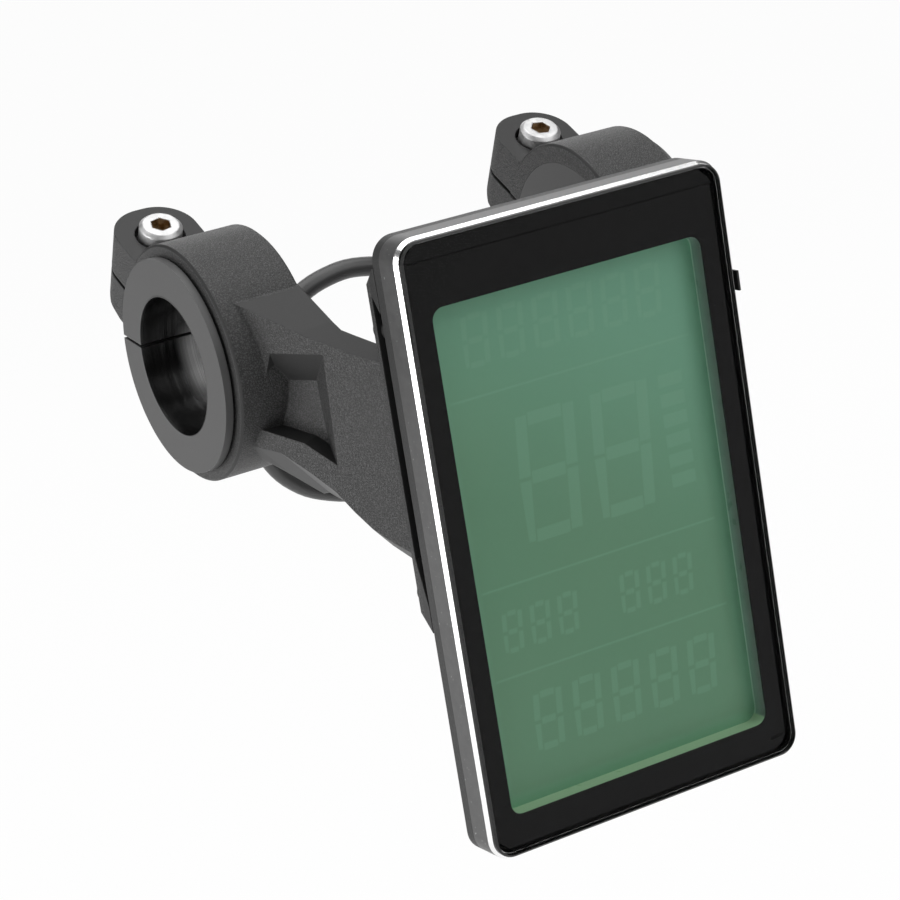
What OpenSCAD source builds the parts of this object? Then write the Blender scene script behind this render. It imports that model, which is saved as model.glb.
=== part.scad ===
// E-bike display on two handlebar clamps, with its lead and plug.
// X runs along the handlebar, Y points forward, away from the rider, and Z is up.
// The origin is on the bar's axis, midway between the two clamps.

/* [Display] */
// Width across the side walls
display_w = 57.7; // [56:0.1:62]
// Height of the display
display_h = 96.8; // [96:0.1:104]
// Corner radius of the outline
corner_r = 3.7; // [3.4:0.1:7]
// Height of the display's upper edge above the bar's axis
display_top = 20.1; // [16:0.1:21]
// Distance from the bar's axis to the face of the lens
face_reach = 48.3; // [44.5:0.1:50]
// Width of the black border at each side of the window
side_border = 4.85; // [4.6:0.05:8]
// Width of the black border above the window
upper_border = 11.15; // [10.5:0.05:14]
// Width of the black border below the window
lower_border = 6.2; // [6:0.05:9]

/* [Front] */
// Thickness of the lens
lens_t = 1.4; // [1.2:0.1:2]
// How far the lens stands in front of the bezel's rim
lens_proud = 0.8; // [0.6:0.1:1]
// Gap from the outline to the lens edge
lens_in = 0.5; // [0.45:0.05:0.9]
// Chamfer on the lens edge
lens_edge = 0.35; // [0.2:0.05:0.5]
// Thickness of the black mask foil
foil_t = 0.2; // [0.1:0.05:0.4]
// Depth of the bezel from its rim to the parting line
bezel_d = 5; // [4.8:0.1:7]
// Depth of the polished chamfer round the rim
bevel_h = 0.8; // [0.4:0.1:1.2]
// Width of the polished chamfer round the rim
bevel_in = 0.4; // [0.2:0.05:0.45]
// Thickness of the bezel's side walls
side_wall = 3.1; // [3:0.1:3.6]
// Thickness of the bezel's upper wall
upper_wall = 3.4; // [3:0.1:4]
// Thickness of the bezel's lower wall
lower_wall = 3.35; // [3:0.05:3.6]

/* [Screen and board] */
// How deep the glass lies behind the mask
glass_sunk = 2.9; // [2.4:0.1:3]
// Thickness of the glass sandwich
glass_t = 1.5; // [1.2:0.1:1.8]
// Border of the glass above the window
glass_end = 2.2; // [1.6:0.1:2.3]
// Thickness of the light guide
guide_t = 0.8; // [0.6:0.1:1.2]
// Thickness of the circuit board
board_t = 1.2; // [0.8:0.1:1.6]
// Gap between the light guide and the board
board_gap = 0.8; // [0.5:0.1:1.2]

/* [Cover] */
// Thickness of the cover's floor
floor_t = 1.2; // [1.1:0.1:1.6]
// Distance from the display's side to the raised back
bulge_side = 5.1; // [4.6:0.1:5.6]
// Distance from the display's ends to the raised back
bulge_end = 5; // [4.8:0.1:6.8]
// Height of the raised back above the floor
bulge_d = 5; // [4.8:0.1:6]
// Wall of the raised back
bulge_wall = 1.2; // [1:0.1:1.3]

/* [Clamps] */
// Diameter of the handlebar
bar_d = 22.2; // [22.2:0.1:25.4]
// Diameter of the bore in each clamp ring
ring_bore = 31.8; // [31.8:0.1:33]
// Wall of each clamp ring
ring_wall = 3.1; // [2.6:0.05:4.1]
// Distance from the middle to the inner face of each ring
ring_in = 29; // [28.8:0.1:34]
// Width of each ring along the bar
ring_w = 14.3; // [13:0.1:16]
// Running gap between a ring and its bush
bush_gap = 0.05; // [0.03:0.01:0.08]
// Diameter of the flange on each bush
flange_d = 34.3; // [33:0.1:35]
// Thickness of the flange on each bush
flange_t = 1.3; // [1:0.1:2]
// Shadow gap between a flange and its ring
flange_gap = 0.45; // [0.3:0.05:0.8]
// Width of the cut through each bush
bush_cut = 0.5; // [0.4:0.1:1.2]
// Direction of the cut through each bush, above the level
bush_cut_angle = 10; // [0:1:20]
// Angle of the clamp ears above the level
ear_angle = 30; // [20:1:40]
// Reach of the ears beyond the clamp screws
ear_past = 7.3; // [6.5:0.1:10.5]
// Gap between the two ears
ear_gap = 0.7; // [0.6:0.1:1.6]
// Height of the upper ear above the middle of the gap
ear_up = 7.3; // [7:0.1:10]
// Depth of the lower ear below the middle of the gap
ear_down = 6.8; // [6.6:0.1:8]
// Distance from the outside of a ring to the middle of its clamp screw
screw_out = 3.5; // [3.4:0.1:5]

/* [Arms] */
// Thickness of each arm
arm_t = 4.6; // [4.2:0.1:5]
// Gap between the cover and the foot of each arm
foot_gap = 1.8; // [1.6:0.1:2.4]
// Thickness of the foot
foot_t = 1; // [0.8:0.1:1.4]
// Distance from the display's upper edge down to the foot
foot_drop = 6.1; // [5.4:0.1:6.8]
// Height of the foot
foot_h = 53; // [51:0.1:55]
// Depth of the pocket in the arm's outer face
pocket_depth = 3.35; // [1:0.05:3.4]
// How far the bevel under the arm drops across its thickness
bevel_drop = 4.2; // [3:0.1:4.5]

/* [Lead] */
// Diameter of the lead
cord_d = 3.3; // [3:0.1:3.4]
// Mean radius of the tied coil
coil_r = 18.175; // [17.5:0.025:19]
// Distance between neighbouring turns
coil_pitch = 3.8; // [3.75:0.05:3.9]
// Turns in the tied coil
coil_turns = 3.5; // [1.5:1:3.5]

/* [Hidden] */

// Fineness of round shapes
$fn = 72;
// Overrun of every cut
over = 0.6;
// Fitting gap between still parts
fit = 0.1;

// Levels through the display, from its face towards the bar
face_y = -face_reach;
rim_y = face_y + lens_proud;
foil_y = face_y + lens_t;
ledge_y = foil_y + foil_t;
parting_y = rim_y + bezel_d;
glass_y = ledge_y + glass_sunk;
guide_y = glass_y + glass_t;
floor_y = guide_y + guide_t;
cover_y = floor_y + floor_t;
board_y = floor_y + board_gap;
board_back_y = board_y + board_t;
bulge_y = cover_y + bulge_d;
bulge_in_y = bulge_y - bulge_wall;
foot_y = cover_y + foot_gap;
foot_back_y = foot_y + foot_t;

// Outline of the display
half_w = display_w / 2;
top_z = display_top;
low_z = top_z - display_h;
display_z = top_z - display_h / 2;

// Seat of the lens in the bezel
seat_in = 1.05;
seat_w = display_w - 2 * seat_in;
seat_h = display_h - 2 * seat_in;
seat_r = corner_r - seat_in;

// Bay inside the bezel and the cover's rim
bay_w = display_w - 2 * side_wall;
bay_top = top_z - upper_wall;
bay_low = low_z + lower_wall;
bay_r = 1.5;

// Window, glass and light guide, with the holder's wall round them
window_r = 2;
window_w = display_w - 2 * side_border;
window_h = display_h - upper_border - lower_border;
window_z = low_z + lower_border + window_h / 2;
holder_wall = 0.7;
glass_w = bay_w - 2 * (2 * fit + holder_wall);
glass_low = bay_low + 2 * fit + holder_wall;
glass_top = window_z + window_h / 2 + glass_end;
glass_h = glass_top - glass_low;
guide_in = 0.6;
guide_gap = 0.35;
contact_ledge = 2.6;
guide_w = glass_w - 2 * guide_in;
guide_low = glass_low + guide_in;
guide_top = glass_top - contact_ledge - guide_gap;

// Band of the holder above the glass
band_skin = 1.2;

// Silicone seal between the holder and the cover's floor
seal_w = 0.5;

// Raised back of the cover
bulge_z = display_z;
bulge_w = display_w - 2 * bulge_side;
bulge_h = display_h - 2 * bulge_end;
bulge_r = 3;
bulge_edge = 0.9;
cover_edge = 0.25;
board_step = 1.2;
board_bay_w = bulge_w - 2 * bulge_wall;
board_bay_h = bulge_h - 2 * bulge_wall;
board_play = 0.3;
board_bay_r = 1;
board_w = board_bay_w - 2 * board_play;
board_h = board_bay_h - 2 * board_play;

// Contact strip from the glass to the board
contact_side = 1.8;
contact_w = board_bay_w - 2 * contact_side;
contact_h = 1.8;
contact_in = 0.35;

// Cover screws, M2
cover_screw_bay = 1.2;
cover_screw_in = side_wall - cover_screw_bay;
cover_screw_corner = 0.5;
cover_screw_end = corner_r - cover_screw_corner;
cover_screw_drop = 4.8;
cover_head_d = 2.8;
cover_head_h = 0.9;
cover_head_sunk = 1;
cover_shank_d = 1.9;
cover_shank_l = 4.4;
cover_recess_d = 1.1;
cover_recess_l = 0.5;
small_play = 0.05;

// Service port in the right wall and its rubber cover
port_drop = 20.1;
port_z = top_z - port_drop;
port_back = 1.7;
port_w = 1.9;
port_h = 6;
port_depth = 1.4;
tab_out = 1.65;
tab_t = 0.35;
tab_h = 3.15;
tab_w = 2.3;
tab_stalk = 0.6;

// Parts on the board, each [width, height, thickness], and their places as
// shares of the board's half width (first) and half height (second)
chip_list = [[12, 12, 1.4], [7, 7, 2.4], [5, 6.5, 1.6], [6, 4, 1.2],
    [8, 3.2, 1.1], [4.5, 3, 1.8], [9, 5, 1.5], [3.2, 2.5, 1]];
chip_shares = [[-0.27, 0.17], [0.4, -0.345], [-0.09, -0.39], [-0.62, -0.06],
    [0.18, 0.79], [0.62, -0.675], [-0.49, -0.77], [0.09, -0.72]];
capacitor_shares = [-0.62, -0.44];
capacitor_d = 6.3;
capacitor_l = 2.6;
buzzer_shares = [-0.58, 0.6];
buzzer_d = 9;
buzzer_l = 2.4;
buzzer_hole = 1.6;

// Connector on the board and the five wires into the gland
wire_d = 0.9;
wire_pitch = 1.25;
wire_count = 5;
plug_block_w = 8.6;
plug_block_h = 5;
plug_block_t = 2.2;
gland_side = 15.85;
gland_x = half_w - gland_side;
gland_z = -24;
block_rise = 9;
block_low = gland_z + block_rise;
wire_lift = 1.2;
wire_y = board_back_y + wire_lift;

// Gland of the lead
gland_flange_d = 8.4;
gland_flange_t = 1.2;
gland_neck_d = 5.2;
gland_collar_d = 7;
gland_root_d = 6.4;
gland_tip_d = 4.4;
gland_l = 13.2;
gland_ribs = 4;
gland_rib_t = 0.9;

// Foot of each arm, and the pads on the cover that carry it
foot_top = top_z - foot_drop;
foot_low = foot_top - foot_h;
pad_run = 1.8;
pad_tip = 2.6;
pad_low_run = 4;
pad_low_tip = 9.7;
foot_in = 0.3;
foot_edge = bulge_w / 2 + foot_in;
boss_d = 3.5;
foot_screw_x = (half_w + foot_edge) / 2;
foot_screw_in = 8.2;
foot_screw_low_in = 3.8;
foot_hole_d = 2.7;
pilot_d = 2.1;
foot_shank_d = 2;
foot_head_d = 4.2;
foot_head_h = 0.8;
foot_screw_l = foot_t + foot_gap + floor_t;
cross_w = 0.6;
cross_l = 2.4;
cross_deep = 0.45;

// Clamp rings and ears
bore_r = ring_bore / 2;
ring_r = bore_r + ring_wall;
screw_reach = ring_r + screw_out;
ear_reach = screw_reach + ear_past;
ring_out = ring_in + ring_w;
ring_edge = 0.35;
ear_in = 0.2;
ear_corner = 6.2;
ear_root_in = 0.6;
ear_root = bore_r + ear_root_in;
ear_heel = 8.5;
ear_heel_rise = 0.8;
ear_toe = 4.9;
ear_toe_rise = 4.4;

// Clamp screw and nut, M4
screw_x = (ring_in + ring_out) / 2;
screw_d = 3.9;
screw_l = 14;
head_d = 7;
head_h = 4;
head_edge = 0.6;
head_play = 0.05;
recess_d = 8.2;
recess_deep = 1.9;
screw_hole_d = 4.4;
hex_af = 3;
hex_deep = 2.2;
nut_af = 7;
nut_h = 3.2;
nut_bore = 4;
nut_sunk = 0.2;
nut_play = 0.1;
hex_turn = 12;

// Bushes
bush_r = bore_r - bush_gap;
bar_r = bar_d / 2;
bush_len = ring_w + flange_gap + flange_t;

// Line of the arm's outer face, from the foot to the knee beside the ring
knee_in = 2.9;
knee_y = -15.6;
arm_end_y = -12;
arm_end_in = 0.3;
arm_foot = [-half_w, foot_back_y];
arm_knee = [knee_in - ring_out, knee_y];
arm_len = norm(arm_knee - arm_foot);
arm_dir = (arm_knee - arm_foot) / arm_len;
arm_nrm = [arm_dir[1], -arm_dir[0]];
function arm_point(along, deep) = arm_foot + along * arm_dir + deep * arm_nrm;
// Distance along the arm at which its inner face reaches a given x
function inner_at(x) = (x - arm_foot[0] - arm_t * arm_nrm[0]) / arm_dir[0];

// Edges of the arm's outer face seen from the side, as shares of the
// distance to the foot (first) and of the ring's radius (second)
arm_top_shares = [[-1.107, 0.024], [-1.001, 0.061], [-0.9, 0.121], [-0.775, 0.222],
    [-0.669, 0.313], [-0.444, 0.539], [-0.302, 0.676], [-0.246, 0.729]];
arm_low_shares = [[-1.214, -1.778], [-1.004, -1.505], [-0.926, -1.413], [-0.854, -1.311],
    [-0.788, -1.17], [-0.722, -1.004], [-0.618, -0.835], [-0.511, -0.681], [-0.413, -0.637],
    [-0.302, -0.605], [-0.137, -0.584]];
arm_room = face_reach;

// Pocket in the arm's outer face: corners at the rim and at the floor, as
// shares of the arm's length (first) and of the ring's radius (second)
pocket_rim_shares = [[0.789, 0.143], [0.398, 0.128], [0.428, -0.786], [0.647, -0.602],
    [0.988, -0.475]];
pocket_floor_shares = [[0.83, -0.122], [0.574, -0.134], [0.559, -0.658], [0.643, -0.589],
    [0.945, -0.476]];

// Lead: points of its middle line, in three runs
cord_r = cord_d / 2;
coil_at = [4, -53.4];
coil_layer = -32.5;
tail_layer = coil_layer + coil_pitch;
coil_rise = coil_pitch * coil_turns / 4;
coil_start = [coil_at[0] + coil_r + coil_rise, coil_layer, coil_at[1] + cord_d];
coil_end = [coil_at[0] - coil_r - coil_rise, tail_layer, coil_at[1] + cord_d];
gland_tip = [gland_x, bulge_y + gland_l, gland_z];
plug_at = [7.6, -22.2, -42.4];
lead_route = [gland_tip, [gland_x, -15, gland_z], [gland_x, -6.5, gland_z], [13.2, 2.5, -23.7],
    [13.6, 9.8, -21.6], [13.8, 14.8, -16.5], [13, 16, -9.5], [10.2, 16.2, -3], [5, 16.2, 1.7], [-1.5, 16, 4],
    [-8, 16, 3.9], [-14.5, 16, 1.6], [-20.5, 16, -2.8], [-24.8, 16, -9], [-26, 16, -16],
    [-24.2, 16, -23], [-20.4, 16, -28], [-14, 16, -31.6], [-6.5, 15.2, -33.2], [0.8, 12.6, -33.6],
    [7.4, 7.6, -33.2], [13, 0.8, -32.2], [17.8, -7.6, -31], [21.6, -16.2, -29.8],
    [24.2, -24.2, -29.5], [25.3, -29.7, -32], [25.5, -32.2, -37.2], [25.5, -32.5, -43.5], coil_start];
tail_route = [coil_end, [-17.4, -28.5, -44.4], [-15.9, -27.3, -38.8], [-12, -25.5, -34],
    [-6, -23.9, -31.2], [0.4, -22.8, -31.2], [5.4, -22.3, -34.4], [7.4, -22.2, -38.6], plug_at];
route_steps = 2;
cord_sides = 8;
coil_sides = 6;
coil_rings = 24;
half_turn = 180;
coil_climb = 90;

// Tie round the coil
tie_angle = 135;
tie_w = 3;
tie_t = 0.8;
tie_gap = 0.2;

// Plug on the lead
plug_neck_d = 4.6;
plug_neck_l = 7;
plug_body_d = 9;
plug_body_l = 15;
plug_nose_d = 7.8;
plug_nose_l = 8;
plug_bore_d = 6.2;
plug_bore_l = 6;
plug_grips = 5;
plug_grip_t = 1;
plug_grip_cut = 0.4;
plug_key_w = 1.2;
pin_d = 0.8;
pin_l = 5;
pin_circle = 4;
pin_count = 5;
seal_d = 8.6;
seal_t = 1;

// Helpers

// A flat shape in x and z, from one y level to another
module plate(y0, y1) {
    translate([0, y1, 0])
        rotate([90, 0, 0])
            linear_extrude(y1 - y0)
                children();
}

// A rectangle with round corners
module rounded(w, h, r) {
    square([w - 2 * r, h], center = true);
    square([w, h - 2 * r], center = true);
    for (sx = [-1, 1], sz = [-1, 1])
        translate([sx * (w / 2 - r), sz * (h / 2 - r)])
            circle(r);
}

// A round-cornered slab whose outline is drawn in by a or b at its two faces
module bevel_slab(w, h, r, y0, y1, a, b) {
    linear_extrude(h - 2 * r, center = true)
        polygon([[a - w / 2, y0], [w / 2 - a, y0], [w / 2 - b, y1], [b - w / 2, y1]]);
    rotate([0, -90, 0])
        linear_extrude(w - 2 * r, center = true)
            polygon([[a - h / 2, y0], [h / 2 - a, y0], [h / 2 - b, y1], [b - h / 2, y1]]);
    for (sx = [-1, 1], sz = [-1, 1])
        translate([sx * (w / 2 - r), y0, sz * (h / 2 - r)])
            rotate([-90, 0, 0])
                cylinder(h = y1 - y0, r1 = r - a, r2 = r - b);
}

// The outline of the bay, drawn in by a gap
module bay(gap) {
    translate([0, (bay_top + bay_low) / 2])
        rounded(bay_w - 2 * gap, bay_top - bay_low - 2 * gap, bay_r - gap);
}

// A round bar along y from one level to another
module rod(d, y0, y1) {
    translate([0, y0, 0])
        rotate([-90, 0, 0])
            cylinder(h = y1 - y0, d = d);
}

// A regular hexagon bar given across its flats
module hexagon(af, h) {
    cylinder(h = h, d = af / cos(30), $fn = 6);
}

// Both sides of the display
module both_sides() {
    children();
    mirror([1, 0, 0])
        children();
}

// Screen

module bezel_frame() {
    color("#3a3c3e")
        difference() {
            translate([0, 0, display_z]) {
                bevel_slab(display_w, display_h, corner_r, rim_y, rim_y + bevel_h, bevel_in, 0);
                plate(rim_y + bevel_h, parting_y)
                    rounded(display_w, display_h, corner_r);
                plate(rim_y + bevel_h / 2, parting_y)
                    rounded(display_w - 2 * bevel_in, display_h - 2 * bevel_in, corner_r - bevel_in);
            }
            translate([0, 0, display_z])
                plate(rim_y - over, ledge_y)
                    rounded(seat_w, seat_h, seat_r);
            plate(ledge_y - over, parting_y + over)
                bay(0);
            cover_screw_places()
                rod(cover_shank_d + 2 * small_play, parting_y - cover_shank_l + over, parting_y + over);
            port_pocket();
        }
}

module port_pocket() {
    translate([half_w - port_depth, parting_y - port_back, port_z])
        rotate([0, 90, 0])
            linear_extrude(port_depth + over)
                rounded(port_h, port_w, port_w / 2 - small_play);
}

module port_cover() {
    plug_y = parting_y - port_back;
    color("#161616") {
        translate([half_w - port_depth, plug_y, port_z])
            rotate([0, 90, 0])
                linear_extrude(port_depth + small_play)
                    rounded(port_h - 2 * fit, port_w - 2 * fit, port_w / 2 - 2 * fit);
        translate([half_w, plug_y, port_z - tab_h / 2])
            cube([tab_out, tab_stalk, tab_h]);
        translate([half_w + tab_out, plug_y + tab_stalk - tab_w, port_z - tab_h / 2])
            cube([tab_t, tab_w, tab_h]);
    }
}

module front_lens() {
    lens_w = display_w - 2 * lens_in;
    lens_h = display_h - 2 * lens_in;
    lens_r = corner_r - lens_in;
    color("#202224", 0.5)
        translate([0, 0, display_z]) {
            bevel_slab(lens_w, lens_h, lens_r, face_y, face_y + lens_edge, lens_edge, 0);
            plate(face_y + lens_edge, rim_y)
                rounded(lens_w, lens_h, lens_r);
            plate(rim_y, foil_y)
                rounded(seat_w - 2 * fit, seat_h - 2 * fit, seat_r - fit);
        }
}

module window_shape() {
    translate([0, window_z])
        rounded(window_w, window_h, window_r);
}

module window_mask() {
    color("#101112")
        plate(foil_y, ledge_y)
            difference() {
                translate([0, display_z])
                    rounded(seat_w - 2 * fit, seat_h - 2 * fit, seat_r - fit);
                window_shape();
            }
}

module lcd_holder() {
    glass_gap = glass_w + 2 * fit;
    band_low = glass_top + fit + holder_wall;
    band_top = bay_top - fit - holder_wall;
    color("#1c1e1f")
        difference() {
            plate(ledge_y, parting_y)
                bay(fit);
            plate(ledge_y - over, parting_y + over)
                window_shape();
            plate(glass_y, parting_y + over)
                translate([-glass_gap / 2, glass_low - fit])
                    square([glass_gap, glass_h + 2 * fit]);
            plate(ledge_y + band_skin, parting_y + over)
                translate([-contact_w / 2, band_low])
                    square([contact_w, band_top - band_low]);
        }
}

module lcd_glass() {
    color("#6f8a7a") {
        plate(glass_y, glass_y + glass_t / 2)
            translate([-glass_w / 2, glass_low])
                square([glass_w, glass_h]);
        plate(glass_y + glass_t / 2, guide_y)
            translate([-glass_w / 2, glass_low])
                square([glass_w, glass_h - contact_ledge]);
    }
}

module light_guide() {
    color("#e8efe9")
        plate(guide_y, floor_y)
            translate([-guide_w / 2, guide_low])
                square([guide_w, guide_top - guide_low]);
}

module contact_strip() {
    color("#c9b46a")
        plate(glass_y + glass_t / 2, board_y)
            translate([-contact_w / 2, glass_top - contact_in - contact_h])
                square([contact_w, contact_h]);
}

// Board

module main_board() {
    color("#1f5a3a")
        plate(board_y, board_back_y)
            translate([0, bulge_z])
                square([board_w, board_h], center = true);
}

// Moves its children to a place given in shares of the board's half sizes
module on_board(shares) {
    translate([shares[0] * board_w / 2, 0, bulge_z + shares[1] * board_h / 2])
        children();
}

module board_parts() {
    color("#26282a") {
        for (i = [0 : len(chip_list) - 1])
            on_board(chip_shares[i])
                plate(board_back_y, board_back_y + chip_list[i][2])
                    square([chip_list[i][0], chip_list[i][1]], center = true);
        on_board(capacitor_shares)
            rod(capacitor_d, board_back_y, board_back_y + capacitor_l);
    }
}

module buzzer() {
    color("#111111")
        on_board(buzzer_shares)
            difference() {
                rod(buzzer_d, board_back_y, board_back_y + buzzer_l);
                rod(buzzer_hole, board_back_y + buzzer_l / 2, board_back_y + buzzer_l + over);
            }
}

module board_connector() {
    color("#ece7da")
        plate(board_back_y, board_back_y + plug_block_t)
            translate([gland_x - plug_block_w / 2, block_low])
                square([plug_block_w, plug_block_h]);
}

module lead_wires() {
    color("#b03028")
        for (i = [0 : wire_count - 1])
            translate([gland_x + (i - (wire_count - 1) / 2) * wire_pitch, wire_y, gland_z])
                cylinder(h = block_low - gland_z, d = wire_d, $fn = 24);
}

// Cover

module cover_screw_places() {
    for (sx = [-1, 1], z = [top_z - cover_screw_end, foot_low - cover_screw_drop, low_z + cover_screw_end])
        translate([sx * (half_w - cover_screw_in), 0, z])
            children();
}

module foot_screw_places() {
    for (z = [foot_top - foot_screw_in, foot_low + foot_screw_low_in])
        translate([-foot_screw_x, 0, z])
            children();
}

module cover_seal() {
    seal_in = fit + seal_w;
    color("#7a2f2f")
        plate(parting_y, floor_y)
            difference() {
                bay(fit);
                translate([0, (bay_top + bay_low) / 2])
                    square([bay_w - 2 * seal_in, bay_top - bay_low - 2 * seal_in], center = true);
            }
}

module foot_pads() {
    translate([-half_w, 0, 0])
        rotate([90, 0, 90])
            linear_extrude(half_w - bulge_w / 2 + fit) {
                polygon([[cover_y, foot_top + pad_run], [foot_y, foot_top],
                    [foot_y, foot_top - pad_tip], [cover_y, foot_top - 2 * pad_tip]]);
                polygon([[cover_y, foot_low - pad_run], [foot_y, foot_low],
                    [foot_y, foot_low + pad_low_tip], [cover_y, foot_low + pad_low_run - pad_run]]);
            }
    foot_screw_places()
        rod(boss_d, cover_y - fit, foot_y);
}

module back_cover() {
    board_hole = board_bay_w - 2 * board_step;
    board_hole_h = board_bay_h - 2 * board_step;
    color("#2a2c2e")
        difference() {
            union() {
                translate([0, 0, display_z]) {
                    plate(parting_y, cover_y - cover_edge)
                        rounded(display_w, display_h, corner_r);
                    bevel_slab(display_w, display_h, corner_r, cover_y - cover_edge, cover_y, 0, cover_edge);
                }
                translate([0, 0, bulge_z]) {
                    plate(cover_y - fit, bulge_y - bulge_edge)
                        rounded(bulge_w, bulge_h, bulge_r);
                    bevel_slab(bulge_w, bulge_h, bulge_r, bulge_y - bulge_edge, bulge_y, 0, bulge_edge);
                }
                both_sides()
                    foot_pads();
            }
            plate(parting_y - over, floor_y)
                bay(0);
            translate([0, 0, bulge_z]) {
                plate(floor_y - over, board_back_y)
                    rounded(board_bay_w, board_bay_h, board_bay_r);
                plate(board_back_y - over, bulge_in_y)
                    rounded(board_hole, board_hole_h, board_bay_r);
            }
            cover_screw_places() {
                rod(cover_head_d + 2 * fit, cover_y - cover_head_sunk, cover_y + over);
                rod(cover_shank_d + 2 * fit, parting_y - over, cover_y);
            }
            both_sides()
                foot_screw_places()
                    rod(pilot_d, floor_y - over, foot_y + over);
            translate([gland_x, 0, gland_z])
                rod(gland_neck_d + 2 * small_play, bulge_in_y - over, bulge_y + over);
        }
}

// A round-headed screw pointing to -Y with its head seated at y = 0
module pan_screw(head_d, head_h, shank_d, shank_l) {
    difference() {
        union() {
            rod(head_d, 0, head_h);
            rod(shank_d, -shank_l, small_play);
        }
        for (a = [0, 90])
            rotate([0, a, 0])
                translate([-cross_l / 2, head_h - cross_deep, -cross_w / 2])
                    cube([cross_l, cross_deep + over, cross_w]);
    }
}

module cover_screws() {
    color("#8f9294")
        cover_screw_places()
            translate([0, cover_y - cover_head_sunk, 0])
                difference() {
                    union() {
                        rod(cover_head_d, 0, cover_head_h);
                        rod(cover_shank_d, -cover_shank_l, small_play);
                    }
                    rod(cover_recess_d, cover_head_h - cover_recess_l, cover_head_h + over);
                }
}

module arm_screws() {
    color("#55585a")
        both_sides()
            foot_screw_places()
                translate([0, foot_back_y, 0])
                    pan_screw(foot_head_d, foot_head_h, foot_shank_d, foot_screw_l);
}

// Arms

// Turns the ear's own frame, with y out along the ear and z across it, into place
module ear_frame() {
    rotate([ear_angle, 0, 0])
        children();
}

// The bar of an arm between its foot and the ring, for the left side
module arm_bar() {
    plan = [arm_point(0, 0), arm_knee, [arm_end_in - ring_out, arm_end_y], [-ring_in, arm_end_y],
        arm_point(inner_at(-ring_in), arm_t), arm_point(inner_at(-foot_edge), arm_t),
        [-foot_edge, foot_back_y - foot_t / 2], [-half_w, foot_back_y - foot_t / 2]];
    low_edge = [for (s = arm_low_shares) [-s[0] * foot_back_y, s[1] * ring_r]];
    top_edge = [for (s = arm_top_shares) [-s[0] * foot_back_y, s[1] * ring_r]];
    sweep = [arm_t * arm_nrm[0], arm_t * arm_nrm[1], -bevel_drop];
    turn = atan2(sweep[1], sweep[0]);
    lean = acos(sweep[2] / norm(sweep));
    across = [cos(lean) * cos(turn), cos(lean) * sin(turn), -sin(lean)];
    beside = [-sin(turn), cos(turn), 0];
    // The lower edge on the outer face, seen along the slope of the bevel
    edge = [for (p = low_edge)
        let (q = concat(arm_point((p[0] - arm_foot[1]) / arm_dir[1], 0), p[1]))
            [q * across, q * beside]];
    intersection() {
        translate([0, 0, -arm_room])
            linear_extrude(2 * arm_room)
                polygon(plan);
        translate([-arm_room - half_w, 0, 0])
            rotate([90, 0, 90])
                linear_extrude(2 * arm_room)
                    polygon(concat(top_edge, [[0, -arm_room], [-2 * arm_room, -arm_room]]));
        rotate([0, lean, turn])
            linear_extrude(4 * arm_room, center = true)
                polygon(concat(edge, [edge[len(edge) - 1] - [2 * arm_room, 0],
                    edge[0] - [2 * arm_room, 0]]));
    }
}

// The tapered pocket in the arm's outer face
module arm_pocket() {
    rim = [for (s = pocket_rim_shares) concat(arm_point(s[0] * arm_len, 0), s[1] * ring_r)];
    lip = [for (s = pocket_rim_shares) concat(arm_point(s[0] * arm_len, -over), s[1] * ring_r)];
    base = [for (s = pocket_floor_shares)
        concat(arm_point(s[0] * arm_len, pocket_depth), s[1] * ring_r)];
    n = len(rim);
    walls = [for (i = [0 : n - 1], k = [0, n]) each [
        [k + i, k + n + i, k + (i + 1) % n],
        [k + (i + 1) % n, k + n + i, k + n + (i + 1) % n]]];
    ends = [for (i = [1 : n - 2]) each [
        [0, i, i + 1],
        [2 * n + i + 1, 2 * n + i, 2 * n]]];
    polyhedron(concat(lip, rim, base), concat(walls, ends));
}

module foot_plate() {
    translate([-half_w, 0, 0])
        rotate([90, 0, 90])
            linear_extrude(half_w - foot_edge)
                polygon([[foot_y, foot_top], [foot_back_y, foot_top - foot_t],
                    [foot_back_y, foot_low + foot_t], [foot_y, foot_low]]);
}

module clamp_ring() {
    for (side = [[0, ring_edge, 1], [ring_w - ring_edge, ring_edge, -1]])
        translate([side[0] - ring_out, 0, 0])
            rotate([0, 90, 0])
                cylinder(h = side[1], r1 = ring_r - (side[2] > 0 ? ring_edge : 0),
                    r2 = ring_r - (side[2] > 0 ? 0 : ring_edge));
    translate([ring_edge - ring_out, 0, 0])
        rotate([0, 90, 0])
            cylinder(h = ring_w - 2 * ring_edge, r = ring_r);
}

module clamp_ears() {
    ear_w = ring_w - 2 * ear_in;
    ear_frame()
        intersection() {
            translate([ear_in - ring_out, 0, 0])
                rotate([90, 0, 90])
                    linear_extrude(ear_w)
                        polygon([[ear_root - ear_corner, -ear_down], [ear_reach - ear_heel, -ear_down],
                            [ear_reach - ear_toe, ear_heel_rise - ear_down],
                            [ear_reach, ear_toe_rise - ear_down], [ear_reach, ear_up],
                            [ear_root - ear_corner, ear_up]]);
            translate([0, 0, -ear_reach])
                linear_extrude(2 * ear_reach) {
                    translate([-screw_x - ear_w / 2, 0])
                        square([ear_w, ear_reach - ear_corner]);
                    for (x = [-1, 1] * (ear_w / 2 - ear_corner))
                        translate([x - screw_x, ear_reach - ear_corner])
                            circle(ear_corner);
                    translate([ear_corner - screw_x - ear_w / 2, 0])
                        square([ear_w - 2 * ear_corner, ear_reach]);
                }
        }
}

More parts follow.
